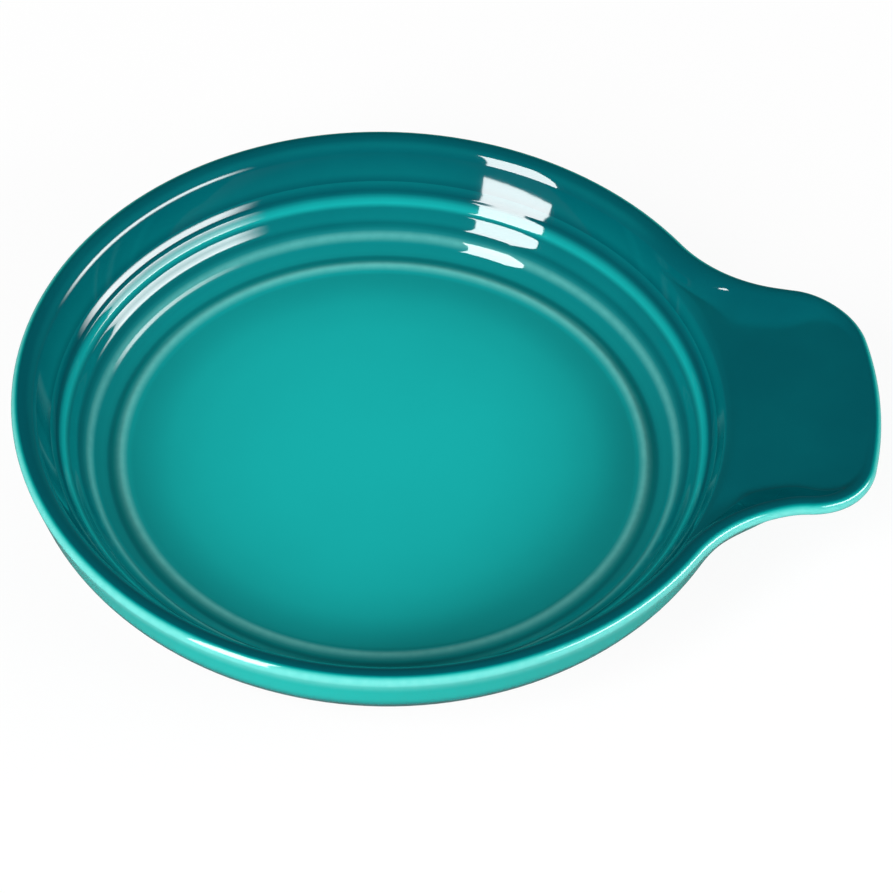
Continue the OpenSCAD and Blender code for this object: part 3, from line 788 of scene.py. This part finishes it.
class SPOONREST_OT_base_glaze(bpy.types.Operator):
    """Spins the disc of glaze inside the foot ring, with its edge drawn thin."""
    bl_idname = "spoonrest.base_glaze"
    bl_label = "Base Glaze"

    spin_steps = 160

    def execute(self, context):
        shape = Shape(context.scene)
        f, c = shape.f, context.scene.rest_colours
        edge = shape.foot_inner - f.bare_gap
        top = f.height + f.glaze
        curve = [(edge - f.glaze * (1 - cos(a)), top - f.glaze * sin(a)) for a in np.linspace(0, pi / 2, 7)]
        flat = [(r, f.height) for r in np.linspace(edge - f.glaze, 0, 36)[1:]]
        line = np.array([(0, top), *[(r, top) for r in np.linspace(0, edge, 24)[1:-1]], *curve, *flat])
        piece = spin_line("base_coat", line, self.spin_steps)
        bpy.ops.mesh.select_all(action="SELECT")
        bpy.ops.mesh.remove_doubles(threshold=1e-7)
        bpy.ops.mesh.normals_make_consistent(inside=False)
        bpy.ops.object.mode_set(mode="OBJECT")
        bpy.ops.object.shade_smooth_by_angle(angle=radians(40))
        r = np.hypot(*places(piece)[:, :2].T)
        thin = 0.5 * rise(r, (edge - 1.2 * MM, edge))
        pool = bands(r, (edge - 2.2 * MM, 0.3, 1.6 * MM))
        paint(piece, deep=np.full(len(r), 0.15), thin=thin, pool=pool)
        finish_piece(piece, "base_glaze", glaze_finish("Base glaze", c, c.outer, c.deep))
        return {"FINISHED"}


class SPOONREST_OT_stage(bpy.types.Operator):
    """Sets the pale floor, the soft lights and the camera."""
    bl_idname = "spoonrest.stage"
    bl_label = "Stage"

    elevation = radians(47.931)
    azimuth = radians(-2.62)
    roll = radians(1.745)
    distance = 1500 * MM
    focal_pixels = 8785.293
    aim_right = 10.733 * MM
    aim_up = 1.948 * MM
    aim_height = 6.6 * MM
    light_distance = 1.1
    light_height = 16 * MM
    floor_size = 1.2
    floor_white = 0.92
    fill = 0.2
    dark = 0.02
    mirrored_white = 0.1

    def execute(self, context):
        context.scene.view_settings.view_transform = "Standard"
        self.lay_floor(context.scene.rest_colours)
        self.set_world(context.scene)
        self.set_lights()
        self.set_camera(context.scene)
        return {"FINISHED"}

    def lay_floor(self, colours):
        bpy.ops.object.select_all(action="DESELECT")
        bpy.ops.mesh.primitive_grid_add(x_subdivisions=8, y_subdivisions=8, size=self.floor_size)
        floor = bpy.context.object
        floor.name = floor.data.name = "table"
        n = Nodes(bpy.data.materials.new("Pale table"))
        n.shader.inputs["Base Color"].default_value = (*colours.table, 1)
        n.shader.inputs["Roughness"].default_value = 0.9
        n.shader.inputs["Specular IOR Level"].default_value = 0
        white = n.add("Emission")
        blend = n.add("MixShader")
        out = n.tree.nodes["Material Output"]
        seen, mirrored = n.sight()
        n.link(n.math("MULTIPLY", n.math("MAXIMUM", seen, mirrored), self.floor_white), blend.inputs["Fac"])
        n.link(n.span(mirrored, 0, 1, 1, self.mirrored_white), white.inputs["Strength"])
        n.link(n.shader.outputs[0], blend.inputs[1])
        n.link(white.outputs[0], blend.inputs[2])
        n.link(blend.outputs[0], out.inputs["Surface"])
        floor.data.materials.append(n.owner)

    def set_world(self, scene):
        """A white backdrop round a room that lights softly and mirrors dark, but for a pale band low down."""
        world = bpy.data.worlds.new("Studio")
        scene.world = world
        n = Nodes(world)
        seen, mirrored = n.sight()
        where = n.add("SeparateXYZ")
        n.link(n.add("TexCoord").outputs["Generated"], where.inputs[0])
        low = n.math("MULTIPLY", n.span(where.outputs["Z"], 0.02, 0.08, self.mirrored_white, 0), mirrored)
        room = n.math("ADD", n.span(mirrored, 0, 1, self.fill, self.dark), low)
        n.link(n.math("MAXIMUM", seen, room), n.tree.nodes["Background"].inputs["Strength"])
        n.tree.nodes["Background"].inputs["Color"].default_value = (1, 1, 1, 1)

    def set_lights(self):
        self.softbox("Window", middle=-133.2, spread=10.8, low=5, high=57, roll=4, brightness=14.5)
        side = self.softbox("Side light", middle=-16, spread=37, low=10, high=31, roll=-19, brightness=14)
        self.soften(side, across=0.25, upright=0.4)

    def softbox(self, name, middle, spread, low, high, roll, brightness):
        """An upright softbox, set by the part of the room that it fills as seen from the dish, in degrees."""
        bottom, top = (self.light_distance * tan(radians(a)) for a in (low, high))
        data = bpy.data.lights.new(name, "AREA")
        data.shape = "RECTANGLE"
        data.size = 2 * self.light_distance * tan(radians(spread))
        data.size_y = top - bottom
        data.energy = pi * data.size * data.size_y * brightness
        lamp = bpy.data.objects.new(name, data)
        out = Vector((cos(radians(middle)), sin(radians(middle)), 0))
        lamp.location = out * self.light_distance + Vector((0, 0, self.light_height + (bottom + top) / 2))
        lamp.rotation_mode = "QUATERNION"
        lamp.rotation_quaternion = (-out).to_track_quat("-Z", "Y") @ Quaternion((0, 0, 1), radians(roll))
        bpy.context.scene.collection.objects.link(lamp)
        return data

    def soften(self, light, across, upright):
        """Dims a softbox towards its edges, over a share of its width and of its height."""
        n = Nodes(light)
        where = n.add("SeparateXYZ")
        n.link(n.add("NewGeometry").outputs["Parametric"], where.inputs[0])
        falls = []
        for axis, reach in (("X", across), ("Y", upright)):
            edge = n.math("PINGPONG", where.outputs[axis], 0.5)
            fall = n.span(edge, 0, reach, 0, 1)
            fall.node.interpolation_type = "SMOOTHSTEP"
            falls.append(fall)
        n.link(n.math("MULTIPLY", *falls), n.tree.nodes["Emission"].inputs["Strength"])

    def set_camera(self, scene):
        data = bpy.data.cameras.new("Camera")
        data.sensor_width = 36
        data.lens = 36 * self.focal_pixels / IMAGE_WIDTH
        data.clip_end = 20
        data.dof.use_dof = False
        camera = bpy.data.objects.new("Camera", data)
        tilt = Matrix.Rotation(self.azimuth, 3, "Z") @ Matrix.Rotation(pi / 2 - self.elevation, 3, "X")
        aim = tilt @ Vector((self.aim_right, self.aim_up, 0)) + Vector((0, 0, self.aim_height))
        view = tilt @ Matrix.Rotation(self.roll, 3, "Z")
        camera.matrix_world = Matrix.Translation(aim + view @ Vector((0, 0, self.distance))) @ view.to_4x4()
        scene.collection.objects.link(camera)
        scene.camera = camera


class SPOONREST_PT_panel(bpy.types.Panel):
    """Sizes, colours and steps of the spoon rest."""
    bl_label = "Spoon Rest"
    bl_space_type = "VIEW_3D"
    bl_region_type = "UI"
    bl_category = "Spoon Rest"

    def draw(self, context):
        for step in STEPS:
            self.layout.operator(step.bl_idname)
        for name in GROUPS:
            group = getattr(context.scene, name)
            box = self.layout.box()
            for key in group.bl_rna.properties.keys():
                if key not in {"rna_type", "name"}:
                    box.prop(group, key)


GROUPS = {
    "rest_dish": SpoonRestDish,
    "rest_rings": SpoonRestRings,
    "rest_tab": SpoonRestTab,
    "rest_foot": SpoonRestFoot,
    "rest_colours": SpoonRestColours,
}
STEPS = (
    SPOONREST_OT_stoneware_body,
    SPOONREST_OT_floor_glaze,
    SPOONREST_OT_wall_glaze,
    SPOONREST_OT_outside_glaze,
    SPOONREST_OT_base_glaze,
    SPOONREST_OT_stage,
)


def register():
    for name, group in GROUPS.items():
        bpy.utils.register_class(group)
        setattr(bpy.types.Scene, name, PointerProperty(type=group))
    for step in (*STEPS, SPOONREST_PT_panel):
        bpy.utils.register_class(step)


def unregister():
    for step in (SPOONREST_PT_panel, *reversed(STEPS)):
        bpy.utils.unregister_class(step)
    for name, group in reversed(GROUPS.items()):
        delattr(bpy.types.Scene, name)
        bpy.utils.unregister_class(group)


def main():
    register()
    bpy.ops.spoonrest.stoneware_body()
    bpy.ops.spoonrest.floor_glaze()
    bpy.ops.spoonrest.wall_glaze()
    bpy.ops.spoonrest.outside_glaze()
    bpy.ops.spoonrest.base_glaze()
    bpy.ops.spoonrest.stage()


if __name__ == "__main__":
    main()
